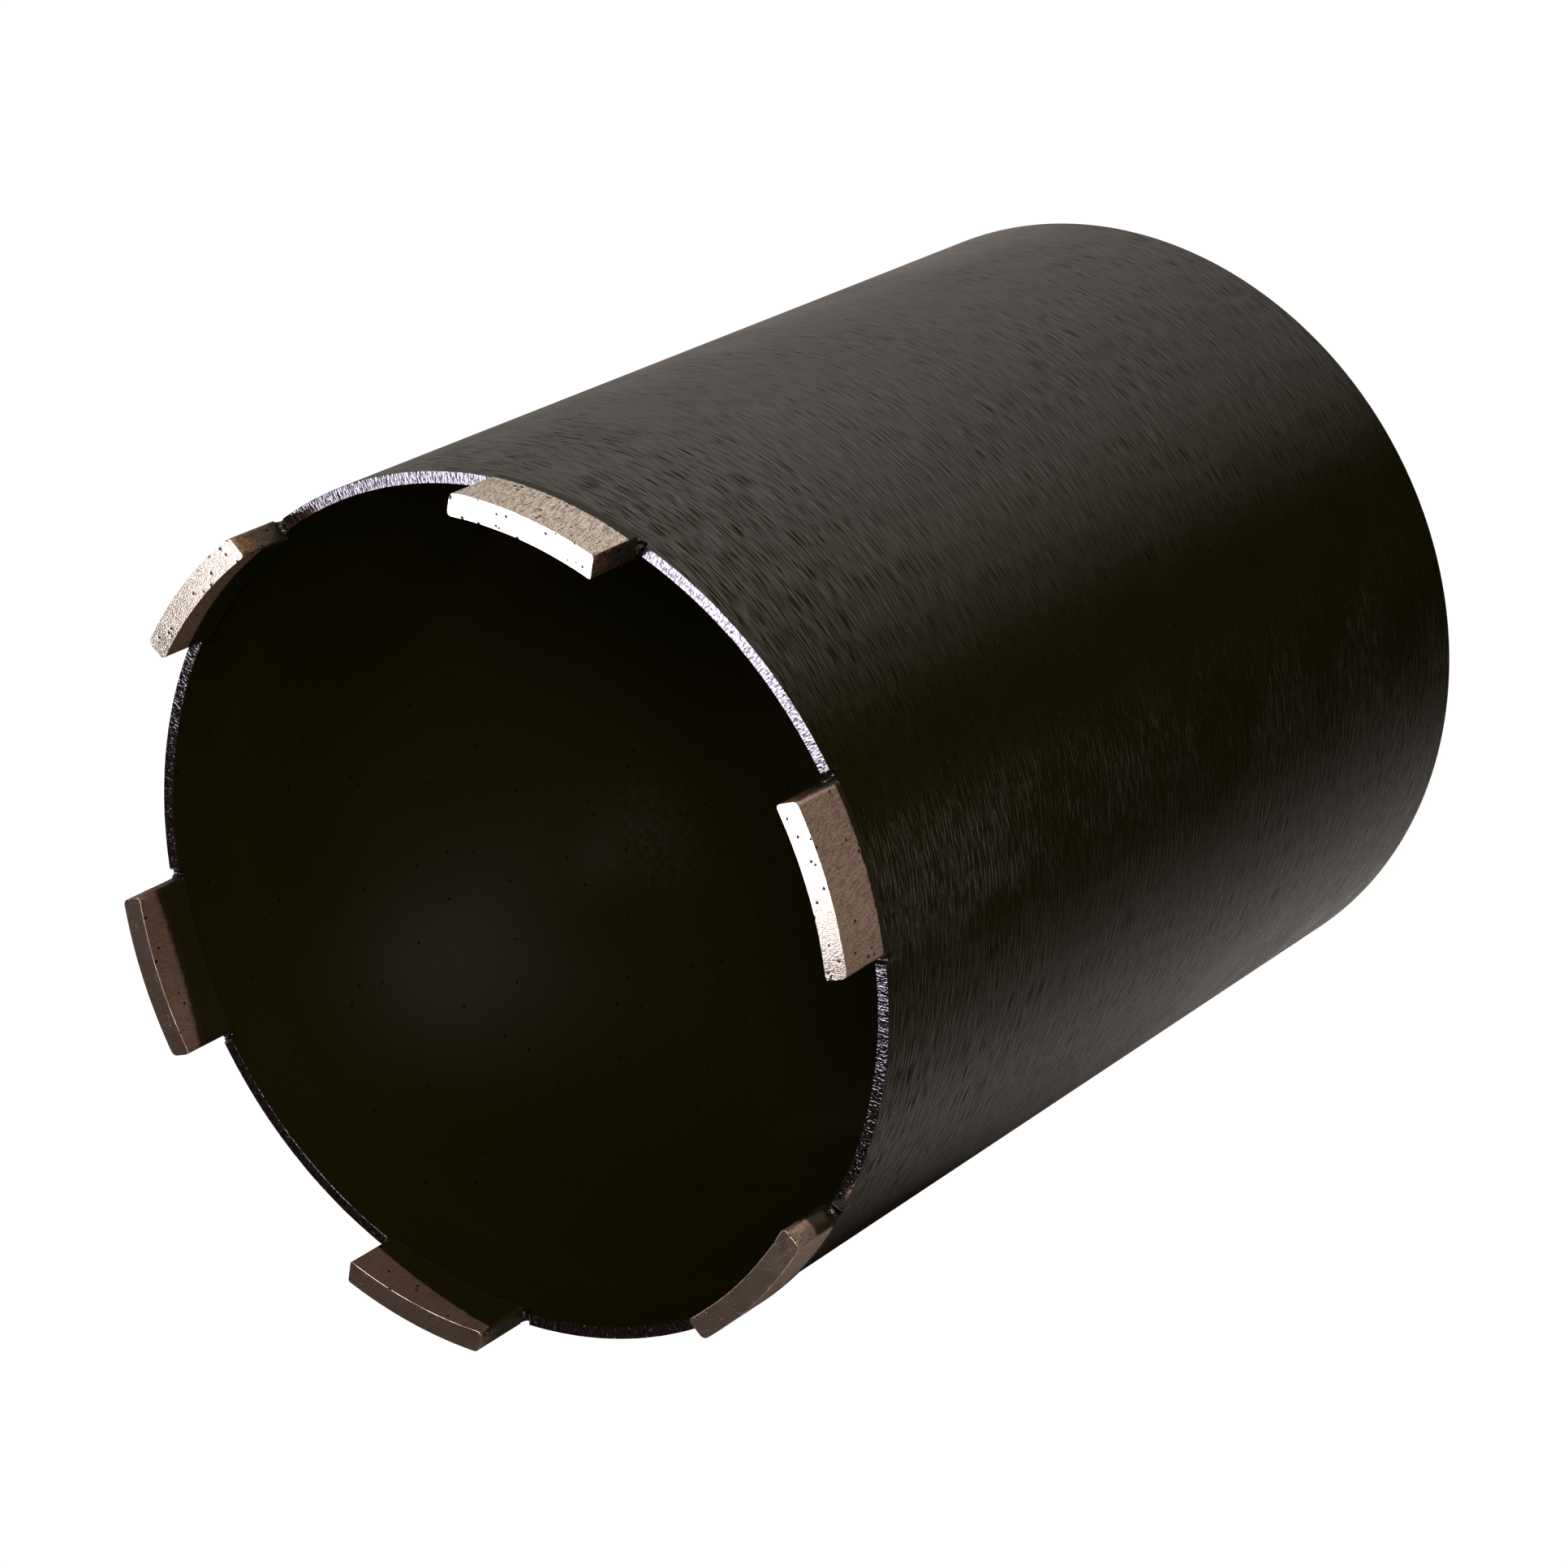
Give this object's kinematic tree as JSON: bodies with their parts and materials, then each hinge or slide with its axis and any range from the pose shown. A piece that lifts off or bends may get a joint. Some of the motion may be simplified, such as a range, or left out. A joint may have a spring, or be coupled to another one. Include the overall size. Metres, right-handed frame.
{
  "type": "diamond core bit",
  "caption": "Cylindrical dry core bit: a black steel barrel with diamond segments on its rim, closed at the back by a plate with a threaded hub.",
  "frame": {"origin": "centre of the hub's end face, which is the lowest point", "axes": "+Z along the bit's axis and out of its mouth; +X through the middle of segment_1"},
  "size_m": [0.127, 0.1258, 0.189],
  "materials": {
    "barrel_paint": "satin black lacquer over a turned tube",
    "plate_paint": "satin black lacquer",
    "hub_steel": "turned and milled",
    "segment_matrix": "sintered, with diamond grit"
  },
  "bodies": {
    "root": {"barrel": "barrel_paint", "back_plate": "plate_paint", "hub": "hub_steel", "segment_1": "segment_matrix", "segment_2": "segment_matrix", "segment_3": "segment_matrix", "segment_4": "segment_matrix", "segment_5": "segment_matrix", "segment_6": "segment_matrix"}
  },
  "joints": []
}
